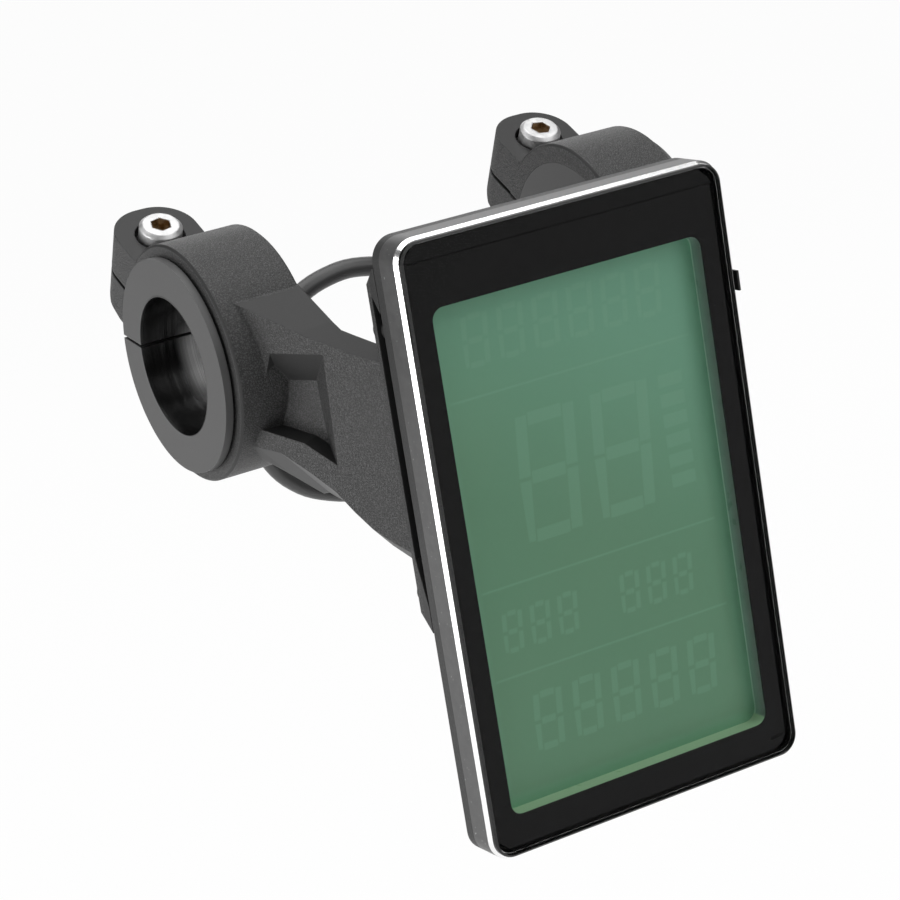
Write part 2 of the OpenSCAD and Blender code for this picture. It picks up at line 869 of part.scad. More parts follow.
module left_arm_shape() {
    nut_top = -ear_down + nut_sunk + nut_h;
    difference() {
        union() {
            difference() {
                arm_bar();
                arm_pocket();
            }
            foot_plate();
            clamp_ring();
            clamp_ears();
        }
        translate([-ring_out - over, 0, 0])
            rotate([0, 90, 0])
                cylinder(h = ring_w + 2 * over, r = bore_r);
        ear_frame() {
            translate([-ring_out - over, bore_r - ear_corner, -ear_gap / 2])
                cube([ring_w + 2 * over, ear_reach - bore_r + 2 * ear_corner, ear_gap]);
            translate([-screw_x, screw_reach, 0]) {
                translate([0, 0, -ear_down - over])
                    cylinder(h = ear_down + ear_up + 2 * over, d = screw_hole_d);
                translate([0, 0, ear_up - recess_deep])
                    cylinder(h = recess_deep + over, d = recess_d);
                translate([0, 0, -ear_down - over])
                    rotate([0, 0, hex_turn])
                        hexagon(nut_af + 2 * nut_play, nut_top + ear_down + over);
            }
        }
        foot_screw_places()
            rod(foot_hole_d, foot_y - over, foot_back_y + over);
    }
}

module left_arm() {
    color("#4a4d50")
        left_arm_shape();
}

module right_arm() {
    color("#4a4d50")
        mirror([1, 0, 0])
            left_arm_shape();
}

// Bushes

module bush_shape() {
    difference() {
        translate([-ring_out - flange_gap - flange_t, 0, 0])
            rotate([0, 90, 0]) {
                cylinder(h = flange_t, d = flange_d);
                cylinder(h = bush_len, r = bush_r);
            }
        translate([-ring_out - flange_gap - flange_t - over, 0, 0])
            rotate([0, 90, 0])
                cylinder(h = bush_len + 2 * over, r = bar_r);
        rotate([bush_cut_angle, 0, 0])
            translate([-ring_out - flange_gap - flange_t - over, 0, -bush_cut / 2])
                cube([bush_len + 2 * over, flange_d, bush_cut]);
    }
}

module left_bush() {
    color("#6a6c6e")
        bush_shape();
}

module right_bush() {
    color("#6a6c6e")
        mirror([1, 0, 0])
            bush_shape();
}

// Clamp screws

module clamp_screw_shape() {
    seat = ear_up - recess_deep + head_play;
    ear_frame()
        translate([-screw_x, screw_reach, seat])
            difference() {
                union() {
                    cylinder(h = head_h - head_edge, d = head_d);
                    translate([0, 0, head_h - head_edge])
                        cylinder(h = head_edge, d1 = head_d, d2 = head_d - 2 * head_edge);
                    translate([0, 0, -screw_l])
                        cylinder(h = screw_l + head_edge, d = screw_d);
                }
                translate([0, 0, head_h - hex_deep])
                    rotate([0, 0, hex_turn])
                        hexagon(hex_af, hex_deep + over);
            }
}

module clamp_nut_shape() {
    ear_frame()
        translate([-screw_x, screw_reach, -ear_down + nut_sunk - head_play])
            difference() {
                rotate([0, 0, hex_turn])
                    hexagon(nut_af, nut_h);
                translate([0, 0, -over])
                    cylinder(h = nut_h + 2 * over, d = nut_bore);
            }
}

module left_clamp_screw() {
    color("#b9bbbd")
        clamp_screw_shape();
}

module right_clamp_screw() {
    color("#b9bbbd")
        mirror([1, 0, 0])
            clamp_screw_shape();
}

module left_clamp_nut() {
    color("#a8aaac")
        clamp_nut_shape();
}

module right_clamp_nut() {
    color("#a8aaac")
        mirror([1, 0, 0])
            clamp_nut_shape();
}

// Lead

function unit(v) = v / norm(v);

// A point on the smooth curve through p1 and p2
function curve_point(p0, p1, p2, p3, t) =
    0.5 * (2 * p1 + (p2 - p0) * t + (2 * p0 - 5 * p1 + 4 * p2 - p3) * t * t
        + (3 * p1 - p0 - 3 * p2 + p3) * t * t * t);

function smooth(route) =
    let (last = len(route) - 1)
        [for (i = [0 : last - 1], k = [0 : route_steps - 1])
            curve_point(i > 0 ? route[i - 1] : 2 * route[0] - route[1], route[i], route[i + 1],
                i < last - 1 ? route[i + 2] : 2 * route[last] - route[last - 1], k / route_steps),
            route[last]];

function heading(line, i) =
    unit(line[min(i + 1, len(line) - 1)] - line[max(i - 1, 0)]);

// Sideways directions that follow the line without twisting
function sideways(line, start) =
    [for (i = 0, u = start; i < len(line); i = i + 1,
        u = i < len(line) ? unit(u - (u * heading(line, i)) * heading(line, i)) : u) u];

function line_length(line) =
    len(line) < 2 ? 0 : [for (i = [1 : len(line) - 1]) norm(line[i] - line[i - 1])]
        * [for (i = [1 : len(line) - 1]) 1];

module tube(line, sides, start) {
    side = sideways(line, start);
    rings = len(line);
    points = [for (i = [0 : rings - 1], k = [0 : sides - 1])
        let (t = heading(line, i))
            line[i] + cord_r * (cos(360 * k / sides) * side[i]
                + sin(360 * k / sides) * cross(t, side[i]))];
    walls = [for (i = [0 : rings - 2], k = [0 : sides - 1]) each [
        [i * sides + k, (i + 1) * sides + k, i * sides + (k + 1) % sides],
        [i * sides + (k + 1) % sides, (i + 1) * sides + k, (i + 1) * sides + (k + 1) % sides]]];
    ends = [for (k = [1 : sides - 2]) each [
        [0, k, k + 1],
        [(rings - 1) * sides, (rings - 1) * sides + k + 1, (rings - 1) * sides + k]]];
    polyhedron(points, concat(walls, ends));
}

// The coil spirals in on one layer, climbs, and spirals out again on the next
function coil_point(a) =
    let (mid = coil_turns * half_turn,
        r = coil_r - coil_rise + coil_pitch * abs(a - mid) / 360,
        up = min(max((a - mid + coil_climb) / (2 * coil_climb), 0), 1))
        [coil_at[0] + r * cos(a), coil_layer + coil_pitch * up, coil_at[1] - r * sin(a)];

coil_line = concat([coil_start],
    [for (i = [0 : coil_turns * coil_rings]) coil_point(i * 360 / coil_rings)], [coil_end]);

// Least distance between stretches of the coil at least half a turn apart
coil_least = min([for (i = [0 : len(coil_line) - 1], j = [i + coil_rings / 2 : len(coil_line) - 1])
    norm(coil_line[i] - coil_line[j])]);

module cable_lead() {
    color("#141414")
        tube(smooth(lead_route), cord_sides, [1, 0, 0]);
}

module cable_coil() {
    echo(coil_gap = coil_least - cord_d, lead = line_length(smooth(lead_route)),
        coil = line_length(coil_line), tail = line_length(smooth(tail_route)));
    color("#141414")
        tube(coil_line, coil_sides, [1, 0, 0]);
}

module cable_tail() {
    color("#141414")
        tube(smooth(tail_route), cord_sides, [1, 0, 0]);
}

module cable_gland() {
    color("#181818")
        translate([gland_x, 0, gland_z])
            difference() {
                union() {
                    rod(gland_collar_d, wire_y + wire_d / 2, bulge_in_y);
                    rod(gland_neck_d, bulge_in_y - small_play, bulge_y + small_play);
                    rod(gland_flange_d, bulge_y, bulge_y + gland_flange_t);
                    translate([0, bulge_y, 0])
                        rotate([-90, 0, 0])
                            cylinder(h = gland_l, d1 = gland_root_d, d2 = gland_tip_d);
                }
                for (i = [0 : gland_ribs - 1])
                    translate([0, bulge_y + gland_flange_t * 2 + i * 2 * gland_rib_t, 0])
                        difference() {
                            rod(gland_flange_d, 0, gland_rib_t);
                            rod(gland_tip_d, -over, gland_rib_t + over);
                        }
            }
}

// The tie is a flat band wrapped round the turns
module cable_tie() {
    inner = coil_r - coil_rise + cord_r;
    a = tie_angle;
    near = [for (i = [0 : ceil(coil_turns) - 1])
        if (a + 360 * i <= coil_turns * 360)
            coil_r - coil_rise + coil_pitch * abs(a + 360 * i - coil_turns * half_turn) / 360];
    lo = min(near) - cord_r - tie_gap;
    hi = max(near) + cord_r + tie_gap;
    y0 = coil_layer - cord_r - tie_gap;
    y1 = tail_layer + cord_r + tie_gap;
    color("#202020")
        translate([coil_at[0], 0, coil_at[1]])
            rotate([0, a, 0])
                translate([0, 0, -tie_w / 2])
                    difference() {
                        translate([lo - tie_t, y0 - tie_t, 0])
                            cube([hi - lo + 2 * tie_t, y1 - y0 + 2 * tie_t, tie_w]);
                        translate([lo, y0, -over])
                            cube([hi - lo, y1 - y0, tie_w + 2 * over]);
                    }
}

// The plug's own frame, with z from the lead's end down to the nose
module plug_frame() {
    translate(plug_at)
        rotate([180, 0, 0])
            children();
}

module cable_plug() {
    nose_at = plug_neck_l + plug_body_l;
    color("#1a1a1a")
        plug_frame()
            difference() {
                union() {
                    cylinder(h = plug_neck_l, d1 = plug_neck_d, d2 = plug_body_d - 2 * plug_grip_cut);
                    translate([0, 0, plug_neck_l])
                        cylinder(h = plug_body_l, d = plug_body_d);
                    translate([0, 0, nose_at])
                        cylinder(h = plug_nose_l, d = plug_nose_d);
                }
                translate([0, 0, nose_at + plug_nose_l - plug_bore_l])
                    cylinder(h = plug_bore_l + over, d = plug_bore_d);
                for (i = [0 : plug_grips - 1])
                    translate([0, 0, plug_neck_l + (1 + 2 * i) * plug_grip_t])
                        difference() {
                            cylinder(h = plug_grip_t, d = plug_body_d + over);
                            translate([0, 0, -over])
                                cylinder(h = plug_grip_t + 2 * over, d = plug_body_d - 2 * plug_grip_cut);
                        }
                translate([-plug_key_w / 2, plug_bore_d / 4, nose_at + plug_nose_l - plug_bore_l / 2])
                    cube([plug_key_w, plug_nose_d, plug_bore_l]);
            }
}

module plug_pins() {
    color("#d8b45a")
        plug_frame()
            for (i = [0 : pin_count - 1])
                rotate([0, 0, i * 360 / pin_count])
                    translate([pin_circle / 2, 0, plug_neck_l + plug_body_l + plug_nose_l - plug_bore_l])
                        cylinder(h = pin_l, d = pin_d, $fn = 24);
}

module plug_seal() {
    color("#a03028")
        plug_frame()
            translate([0, 0, plug_neck_l + plug_body_l])
                difference() {
                    cylinder(h = seal_t, d = seal_d);
                    translate([0, 0, -over])
                        cylinder(h = seal_t + 2 * over, d = plug_nose_d);
                }
}

bezel_frame();
front_lens();
window_mask();
lcd_holder();
lcd_glass();
light_guide();
contact_strip();
main_board();
board_parts();
buzzer();
board_connector();
lead_wires();
cover_seal();
back_cover();
cover_screws();
port_cover();
left_arm();
right_arm();
arm_screws();
left_bush();
right_bush();
left_clamp_screw();
right_clamp_screw();
left_clamp_nut();
right_clamp_nut();
cable_gland();
cable_lead();
cable_coil();
cable_tail();
cable_tie();
cable_plug();
plug_pins();
plug_seal();
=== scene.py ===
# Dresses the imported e-bike display: finishes, edges, lead and light.
from math import cos, radians, sin

import bpy
from mathutils import Matrix, Vector


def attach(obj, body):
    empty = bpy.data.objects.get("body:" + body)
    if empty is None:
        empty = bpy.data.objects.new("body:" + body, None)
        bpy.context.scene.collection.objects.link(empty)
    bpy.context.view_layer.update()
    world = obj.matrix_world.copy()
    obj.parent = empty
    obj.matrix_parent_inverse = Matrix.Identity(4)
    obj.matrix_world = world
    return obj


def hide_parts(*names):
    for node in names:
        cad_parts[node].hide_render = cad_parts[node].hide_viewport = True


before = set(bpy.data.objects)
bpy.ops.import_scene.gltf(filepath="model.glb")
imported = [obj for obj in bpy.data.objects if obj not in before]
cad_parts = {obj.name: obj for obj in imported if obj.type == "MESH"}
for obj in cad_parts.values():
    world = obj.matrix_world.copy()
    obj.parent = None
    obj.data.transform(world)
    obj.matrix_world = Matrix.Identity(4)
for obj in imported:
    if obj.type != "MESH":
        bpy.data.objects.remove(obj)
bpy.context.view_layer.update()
bpy.ops.object.select_all(action="DESELECT")
scene = bpy.context.scene

# Places on the part, in mm. The bar's axis runs along X through the origin, and the screen
# looks towards -Y.
MM = 0.001                   # one mm in metres
BAR_R = 11.1                 # the handlebar
RING_R = 19.0                # the outside of a clamp ring
CLAMP_X = 36.15              # the middle of a clamp, to either side
SCREW_REACH = 22.5           # from the bar's axis to a clamp screw's axis
SCREW_LEAN = radians(30)     # how far a clamp screw leans
CHAMFER_Y = -46.72           # the back of the rim's bright chamfer
LENS_BACK_Y = -46.95         # just in front of the cover glass's back face
LEDGE_Y = -46.7              # the front of the frame round the screen
GLASS_Y = -43.9              # just in front of the screen glass
WINDOW = (0, -30.775)        # the window's middle
WINDOW_HALF = (24.2, 39.9)   # half the window's size, with a little over
MARKS_Z = -30.8              # the middle of the screen's marks


# Camera

def camera():
    """Stands where the photograph was solved to be taken from, with its aim and lens."""
    place = Vector((-239.0, -442.0, 104.8)) * MM
    look = Vector((0.4616, 0.8506, -0.2518)).normalized()
    right = look.cross(Vector((0.2597, 0.1418, 0.9552))).normalized()
    turn = Matrix((right, right.cross(look), -look)).transposed().to_4x4()
    data = bpy.data.cameras.new("view")
    data.sensor_width, data.lens = 36, 126.71
    data.clip_start, data.clip_end = 0.02, 20
    eye = bpy.data.objects.new("view", data)
    eye.matrix_world = Matrix.Translation(place) @ turn
    scene.collection.objects.link(eye)
    scene.camera = eye


camera()


# Shader maths written as sums

class Value:
    """One output of a node, which works in sums and comparisons."""

    def __init__(self, nodes, socket):
        self.nodes, self.socket = nodes, socket

    def math(self, operation, *others):
        return self.nodes.add("Math", {"operation": operation}, self, *others)

    def __add__(self, other):
        return self.math("ADD", other)

    def __sub__(self, other):
        return self.math("SUBTRACT", other)

    def __mul__(self, other):
        return self.math("MULTIPLY", other)

    def __truediv__(self, other):
        return self.math("DIVIDE", other)

    def __rsub__(self, other):
        return self.nodes.add("Math", {"operation": "SUBTRACT"}, other, self)

    def __rtruediv__(self, other):
        return self.nodes.add("Math", {"operation": "DIVIDE"}, other, self)

    __radd__ = __add__
    __rmul__ = __mul__

    def size(self):
        return self.math("ABSOLUTE")

    def most(self, other):
        return self.math("MAXIMUM", other)

    def below(self, limit, soft):
        """1 below the limit and 0 above it, over a soft width."""
        return self.nodes.ramp(self, limit + soft / 2, limit - soft / 2)

    def above(self, limit, soft):
        """1 above the limit and 0 below it, over a soft width."""
        return self.nodes.ramp(self, limit - soft / 2, limit + soft / 2)

    def swing(self, about, by):
        """Turns a noise from 0 to 1 into a value that swings about a middle."""
        return (self - 0.5) * by + about


class Nodes:
    """A node tree in which every node is made by add."""

    def __init__(self, tree):
        self.tree = tree

    def add(self, kind, settings, *values, out=0, **named):
        """Makes a node: first its settings, then the values or links of its sockets."""
        node = self.tree.nodes.new("ShaderNode" + kind)
        for key, value in settings.items():
            setattr(node, key, value)
        for socket, value in zip([s for s in node.inputs if s.enabled], values):
            self.feed(socket, value)
        for key, value in named.items():
            self.feed(node.inputs[key.replace("_", " ")], value)
        if isinstance(out, str):
            return Value(self, node.outputs[out])
        return Value(self, [s for s in node.outputs if s.enabled][out])

    def feed(self, socket, value):
        """Gives a socket a link, a colour or a plain number."""
        if isinstance(value, Value):
            self.tree.links.new(value.socket, socket)
        elif isinstance(value, tuple) and len(value) == 3 and socket.type == "RGBA":
            socket.default_value = (*value, 1)
        else:
            socket.default_value = value

    def ramp(self, value, low, high):
        """Runs smoothly from 0 at low to 1 at high."""
        settings = {"interpolation_type": "SMOOTHSTEP", "clamp": True}
        return self.add("MapRange", settings, value, low, high, 0.0, 1.0)

    def mix(self, factor, low, high):
        """Mixes two colours; each is a colour or a link."""
        return self.add("Mix", {"data_type": "RGBA"}, factor, low, high)


class Finish(Nodes):
    """A material that is built from one shader and the nodes that feed it."""

    def __init__(self, name, **sockets):
        self.material = bpy.data.materials.new(name)
        self.material.use_nodes = True
        super().__init__(self.material.node_tree)
        self.shader = self.tree.nodes["Principled BSDF"]
        self.set(**sockets)
        self.place = self.add("TexCoord", {}, out="Object")
        self.x, self.y, self.z = [self.add("SeparateXYZ", {}, self.place, out=axis) * (1 / MM)
                                  for axis in "XYZ"]

    def set(self, **sockets):
        for key, value in sockets.items():
            self.feed(self.shader.inputs[key.replace("_", " ")], value)

    def noise(self, per_mm, detail=2.0, rough=0.5):
        return self.add("TexNoise", {"noise_dimensions": "3D"}, Vector=self.place,
                        Scale=per_mm / MM, Detail=detail, Roughness=rough)

    def pebbles(self, per_mm):
        return self.add("TexVoronoi", {"feature": "SMOOTH_F1"}, Vector=self.place,
                        Scale=per_mm / MM, Smoothness=0.6)

    def from_bar(self):
        """Distance from the bar's axis, in mm."""
        return (self.y * self.y + self.z * self.z).math("SQRT")

    def normal(self):
        return self.add("NewGeometry", {}, out="Normal")

    def facing(self, axis):
        """How far the surface faces along the part's own axis, from -1 to 1."""
        own = self.add("VectorTransform", {"vector_type": "NORMAL", "convert_from": "WORLD",
                                           "convert_to": "OBJECT"}, self.normal())
        return self.add("SeparateXYZ", {}, own, out=axis)

    def round_off(self, radius):
        """The surface's direction with edges rounded by a radius in mm."""
        return self.add("Bevel", {"samples": 6}, Radius=radius * MM, out="Normal")

    def bump(self, height, deep, rounded=None):
        """Bumps of a depth in mm, over edges that are rounded by a radius in mm."""
        values = {"Strength": 1.0, "Distance": deep * MM, "Height": height}
        if rounded:
            values["Normal"] = self.round_off(rounded)
        self.set(Normal=self.add("Bump", {}, out="Normal", **values))

    def edge_highlight(self, radius):
        """1 on sharp edges, as wide as a radius in mm, and 0 on faces: the mask of a painted edge
        highlight.
        """
        match = self.add("VectorMath", {"operation": "DOT_PRODUCT"}, self.round_off(radius),
                         self.normal(), out="Value")
        return match.below(0.97, 0.05)


def grey(level):
    """The colour of a grey level from 0 to 255."""
    v = level / 255
    linear = v / 12.92 if v <= 0.04045 else ((v + 0.055) / 1.055) ** 2.4
    return (linear, linear, linear)


def tone(r, g, b):
    """The colour of three levels from 0 to 255."""
    return tuple(grey(v)[0] for v in (r, g, b))


# Finishes

def cover_finish():
    """Fine-textured black plastic of the back."""
    level, grain, edge = 50, 3.2, 0.25
    f = Finish("cover_plastic", Specular_IOR_Level=0.4)
    fine = f.noise(grain, detail=3.0, rough=0.6)
    pebble = f.pebbles(grain * 0.7)
    cloud = f.noise(0.05, detail=3.0)
    shade = f.ramp(cloud * 0.6 + fine * 0.4, 0.3, 0.7)
    base = f.mix(shade, grey(level - 4), grey(level + 4))
    # Painted highlight: the edges are lightened as if they caught the light.
    f.set(Base_Color=f.mix(f.edge_highlight(edge) * 0.35, base, grey(level + 30)))
    f.set(Roughness=cloud.swing(about=0.5, by=0.12) - fine.swing(about=0, by=0.25))
    f.bump(fine * 0.6 + pebble * 0.7, deep=0.03, rounded=edge)
    return f.material


def arm_finish():
    """Black moulding: spark-textured on the rings and outer faces, and smooth elsewhere."""
    f = Finish("arm_plastic", Specular_IOR_Level=0.4)
    fine = f.noise(6.5, detail=2.0, rough=0.6)
    pebble = f.pebbles(4.2)
    cloud = f.noise(0.05, detail=3.0)
    dots = f.ramp(f.noise(4.5, detail=1.0), 0.4, 0.72)
    side = f.facing("X").size()
    round_ring = f.from_bar().below(RING_R + 0.2, 0.2) * side.below(0.4, 0.2)
    grain = round_ring.most(side.above(0.82, 0.1))
    shade = f.ramp(cloud * 0.5 + fine * 0.5, 0.3, 0.7)
    smooth = f.mix(shade, grey(38), grey(46))
    spark = f.mix(dots, f.mix(shade, grey(42), grey(52)), grey(82))
    base = f.mix(grain, smooth, spark)
    # Painted highlight: the edges are lightened as if they caught the light.
    f.set(Base_Color=f.mix(f.edge_highlight(0.25) * 0.3, base, grey(80)))
    f.set(Roughness=cloud.swing(about=0.47, by=0.12) - fine.swing(about=0, by=0.35) * grain)
    f.bump((fine * 0.6 + pebble * 0.8) * (grain * 0.9 + 0.1), deep=0.1, rounded=0.25)
    return f.material


def satin(name, level, rough, tint=(0, 0, 0), metal=0.0):
    """Smooth plastic, rubber or painted metal with faint waves and scuffs."""
    edge = 0.2
    f = Finish(name, Metallic=metal)
    cloud = f.noise(0.08, detail=4.0)
    fine = f.noise(3.0, detail=2.0)
    scuffs = f.noise(0.9, detail=6.0, rough=0.75).above(0.62, 0.08)
    low = tuple(c + d for c, d in zip(grey(level - 3), tint))
    high = tuple(c + d for c, d in zip(grey(level + 4), tint))
    base = f.mix(cloud, low, high)
    # Painted highlight: the edges are lightened as if they caught the light.
    f.set(Base_Color=f.mix(f.edge_highlight(edge) * 0.35, base, grey(min(level + 40, 250))))
    f.set(Roughness=cloud.swing(about=rough, by=0.1) + scuffs * 0.06)
    f.bump(fine, deep=0.002, rounded=edge)
    return f.material


def bezel_finish():
    """Satin grey side walls, and a chamfer round the rim that is cut bright."""
    f = Finish("bezel_metal")
    bright = f.y.below(CHAMFER_Y, 0.02)
    brushed = f.noise(0.6, detail=4.0, rough=0.7)
    fine = f.noise(6.0, detail=2.0)
    specks = f.noise(2.2, detail=1.0).above(0.76, 0.02)
    wall = f.mix(f.ramp(brushed, 0.3, 0.7), grey(80), grey(90))
    wall = f.mix(specks * 0.5, wall, grey(190))
    f.set(Base_Color=f.mix(bright, wall, grey(250)))
    f.set(Metallic=bright * 0.7 + 0.3)
    f.set(Roughness=brushed.swing(about=0.4, by=0.12) - bright * 0.2)
    f.bump(fine * (1 - bright), deep=0.004, rounded=0.06)
    return f.material


def lens_finish():
    """Cover glass: clear through both faces, with a ground edge."""
    f = Finish("cover_glass", Specular_IOR_Level=0.17, IOR=1.49)
    tilt = f.facing("Y")
    clear, back = tilt.size().above(0.97, 0.02), f.y.above(LENS_BACK_Y, 0.02)
    ground = tilt.above(-0.93, 0.04) * tilt.below(-0.3, 0.1)
    smear = f.noise(0.03, detail=5.0, rough=0.7)
    grit = f.noise(9.0, detail=2.0)
    edge = f.mix(f.ramp(grit, 0.35, 0.65), grey(36), grey(72))
    through_front = 0.88
    f.set(Base_Color=f.mix(ground, f.mix(smear, grey(6), grey(10)), edge))
    f.set(Alpha=1 - clear * (back * (1 - through_front) + through_front))
    f.set(Roughness=f.ramp(smear, 0.45, 0.8) * 0.05 + 0.05 + ground * 0.4)
    return f.material


def mask_finish():
    """Glossy black print round the window, with faint smears and a little dust."""
    f = Finish("mask_print", Specular_IOR_Level=0.17)
    smear = f.noise(0.03, detail=5.0, rough=0.7)
    dust = f.noise(0.7, detail=1.0).above(0.8, 0.02)
    black = f.mix(smear, grey(6), grey(11))
    f.set(Base_Color=f.mix(dust * 0.3, black, grey(90)))
    f.set(Roughness=f.ramp(smear, 0.45, 0.8) * 0.06 + 0.06)
    return f.material


def holder_finish():
    """Frame round the screen: dark grey plastic, with the screen's green painted on its walls
    inside the window as reflected light, stronger towards the glass.
    """
    f = Finish("holder_plastic", Specular_IOR_Level=0.3)
    cloud = f.noise(0.3, detail=4.0, rough=0.7)
    # Painted light: inside the window the walls carry the screen's green as a painted reflection,
    # lighter near the glass and on upward faces where light falls.
    painted_glow_ramp = f.ramp(f.y, LEDGE_Y, GLASS_Y)
    painted_glass_glow = f.y.above(GLASS_Y - 0.25, 0.1)
    painted_lit_sill = f.facing("Z").above(0.5, 0.2)
    wall = f.mix(painted_glow_ramp, tone(96, 112, 104), tone(126, 166, 146))
    wall = f.mix(painted_glass_glow, wall, tone(176, 220, 196))
    wall = f.mix(painted_lit_sill, wall, tone(158, 200, 156))
    opening = ((f.x - WINDOW[0]).size().below(WINDOW_HALF[0], 0.1)
               * (f.z - WINDOW[1]).size().below(WINDOW_HALF[1], 0.1))
    f.set(Base_Color=f.mix(opening, grey(30), f.mix(cloud * 0.25, wall, grey(190))))
    f.set(Roughness=cloud.swing(about=0.3, by=0.2))
    return f.material


def screen_finish():
    """Reflective screen glass, switched off, with faint shapes of its digits and painted light on
    its border and towards its top right.
    """
    f = Finish("screen", Roughness=0.32, Specular_IOR_Level=0.4)
    z = f.z - MARKS_Z
    soft, lean_by, gap_up, gap_across = 0.12, 0.08, 0.6, 0.5
    marks = []

    def bar(x, up, wide, tall, across=None):
        return (((across or f.x) - x).size().below(wide / 2, soft)
                * (z - up).size().below(tall / 2, soft))

    def digits(x, up, wide, tall, pitch, count, thick):
        """A row of seven-bar digits, all bars on, from x to the right."""
        cell = ((f.x - x) / pitch).math("FRACT") * pitch
        row = f.x.math("GREATER_THAN", x) * f.x.math("LESS_THAN", x + pitch * count)
        lean = cell - (z - up) * lean_by
        side, across = (wide - thick) / 2, wide - 2 * thick - gap_across
        shapes = [bar(wide / 2 + s * side, up + u * tall / 4, thick, tall / 2 - gap_up, lean)
                  for s in (-1, 1) for u in (-1, 1)]
        shapes += [bar(wide / 2, up + u * (tall - thick) / 2, across, thick, lean)
                   for u in (-1, 0, 1)]
        return sum(shapes[1:], shapes[0]) * row

    # Left end, height, digit's width and height, pitch, count, and thickness of a bar
    for numbers in ((-18, 32.8, 4.6, 8.2, 6.2, 6, 0.9),
                    (-12, 9.8, 10.5, 20, 13.5, 2, 2),
                    (-19, -12.5, 3.6, 6.6, 5, 3, 0.8),
                    (2.5, -12.5, 3.6, 6.6, 5, 3, 0.8),
                    (-16, -27.8, 5.2, 9.4, 7.2, 5, 1.1)):
        marks.append(digits(*numbers))
    for rule_up in (24.3, -5.4, -19.5):
        marks.append(bar(0, rule_up, 43, 0.35))
    step_x, step_up, step_pitch = 17, 9.8, 3.2
    steps = ((z - step_up) / step_pitch).math("FRACT").above(0.35, 0.05)
    marks.append(bar(step_x, step_up, 4.4, 19) * steps)
    faint = marks[0]
    for mark in marks[1:]:
        faint = faint.most(mark)

    cloud = f.noise(0.02, detail=3.0)
    film = f.noise(1.2, detail=2.0)
    # Painted light: a lighter band round the screen's border and a lighter, bluer tone towards
    # the top right stand in for light that the recess keeps off.
    edge = 1 - f.x.size().below(22.2, 2.0) * z.size().below(38.1, 2.0)
    painted_top_light = f.ramp(z + f.x * 0.5, -8, 44)
    low = f.mix(f.ramp(cloud, 0.35, 0.65), tone(111, 162, 128), tone(115, 163, 129))
    plain = f.mix(painted_top_light, low, tone(127, 185, 155))
    plain = f.mix(edge * 0.45, plain, tone(136, 194, 160))
    f.set(Base_Color=f.mix(faint * 0.2, plain, tone(150, 204, 172)))
    f.bump(film, deep=0.002)
    return f.material


def steel_finish():
    """Stainless screw, turned on its head, with a stained socket."""
    f = Finish("screw_steel", Metallic=1.0)
    smear = f.noise(0.7, detail=4.0)
    grain = f.noise(7.0, detail=2.0)
    c, s = cos(SCREW_LEAN), sin(SCREW_LEAN)
    aside, out, up = f.x.size() - CLAMP_X, f.y - SCREW_REACH * c, f.z - SCREW_REACH * s
    high, along = up * c - out * s, out * c + up * s
    socket_r, socket_floor, socket_mouth = 1.85, 6.9, 9.35
    centre = (aside * aside + along * along).math("SQRT").below(socket_r, 0.2)
    socket = centre * high.below(socket_mouth, 0.1) * high.above(socket_floor, 0.2)
    steel = f.mix(f.ramp(smear, 0.35, 0.7), grey(200), grey(222))
    stain = f.mix(f.ramp(smear, 0.4, 0.6), tone(150, 124, 90), tone(205, 190, 168))
    f.set(Base_Color=f.mix(socket, steel, stain))
    f.set(Roughness=smear.swing(about=0.48, by=0.2))
    f.bump(grain, deep=0.006, rounded=0.4)
    return f.material


def bush_finish():
    """Grey plastic ring with a black, lathe-turned bore that carries a painted highlight streak.
    """
    f = Finish("bush_plastic", Specular_IOR_Level=0.5)
    cloud = f.noise(0.06, detail=3.0)
    turned = f.add("TexNoise", {"noise_dimensions": "1D"}, W=f.x, Scale=6.0, Detail=3.0)
    inside = f.from_bar().below(BAR_R + 0.2, 0.2)
    base = f.mix(cloud, grey(72), grey(79))
    # Painted highlight: a bright streak on the far wall of the bore, broken by its turning marks,
    # stands in for a reflection.
    glint_x, glint_z = 36.2, -2.5
    painted_bore_glint = f.y.above(7.5, 4.0) * (f.z - glint_z).size().below(4.5, 6.0)
    painted_bore_glint = painted_bore_glint * (f.x.size() - glint_x).size().below(1.6, 3.2)
    bore = f.mix(painted_bore_glint * (turned * 0.8 + 0.4), grey(15), grey(235))
    # Painted highlight along the bush's edges; inside the bore the colour comes from the painted
    # streak above.
    f.set(Base_Color=f.mix(inside, f.mix(f.edge_highlight(0.15) * 0.4, base, grey(126)), bore))
    f.set(Roughness=cloud.swing(about=0.46, by=0.1) - inside * 0.2)
    f.bump(turned * inside, deep=0.06, rounded=0.12)
    return f.material


def light_guide_finish():
    """Milky, clear plastic."""
    f = Finish("light_guide", Roughness=0.25)
    f.set(Base_Color=f.mix(f.noise(0.1), tone(214, 226, 216), tone(228, 236, 229)))
    return f.material


def board_finish():
    """Green solder mask over copper tracks."""
    f = Finish("board", Roughness=0.35)
    cells = f.add("TexVoronoi", {"distance": "MANHATTAN", "feature": "F1"}, Vector=f.place,
                  Scale=0.42 / MM)
    tracks = (cells * 6).math("FRACT").below(0.3, 0.1)
    f.set(Base_Color=f.mix(tracks, tone(18, 70, 42), tone(38, 104, 62)))
    f.bump(tracks, deep=0.02)
    return f.material


def lead_finish():
    """Smooth black sheath with a slight print of its stranding."""
    f = Finish("lead_sheath", Specular_IOR_Level=0.5)
    cloud = f.noise(0.15, detail=3.0)
    strands = f.noise(0.5, detail=3.0)
    f.set(Base_Color=f.mix(cloud, grey(68), grey(76)))
    f.set(Roughness=cloud.swing(about=0.38, by=0.15))
    f.bump(strands, deep=0.03)
    return f.material


